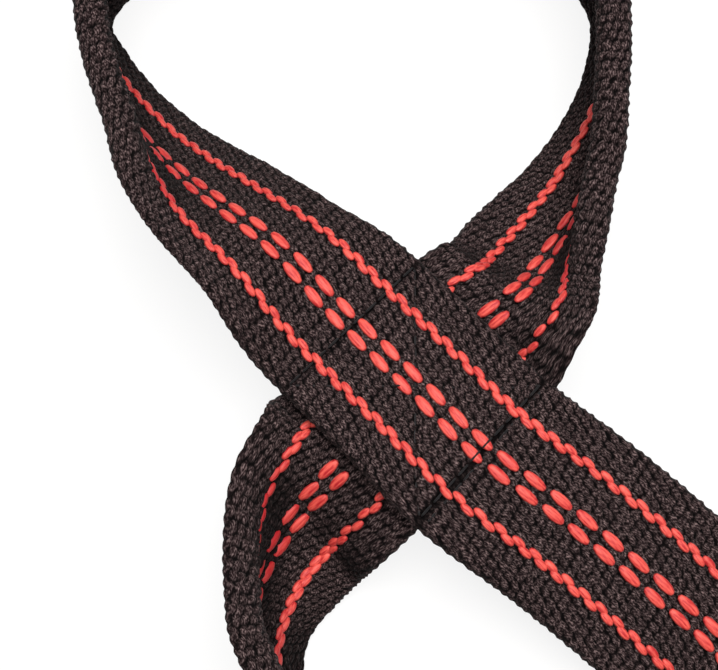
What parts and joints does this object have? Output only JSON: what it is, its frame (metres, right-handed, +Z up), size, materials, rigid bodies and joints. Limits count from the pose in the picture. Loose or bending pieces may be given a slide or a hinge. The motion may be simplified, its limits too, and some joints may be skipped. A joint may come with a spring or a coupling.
{
  "type": "figure eight lifting strap",
  "caption": "Woven webbing strap laid as two open loops that cross in a flat sewn square, for tying a wrist to a lifting bar.",
  "frame": {"origin": "middle of the strap's outline seen from above, at the height of the surface that it rests on", "axes": "+Z up, +Y from the sewn square towards the larger loop, +X to the right of it seen from above"},
  "size_m": [0.1618, 0.2448, 0.0377],
  "materials": {
    "woven_webbing": "matte woven, black with red warp lines"
  },
  "bodies": {
    "root": {"webbing": "woven_webbing"}
  },
  "joints": []
}
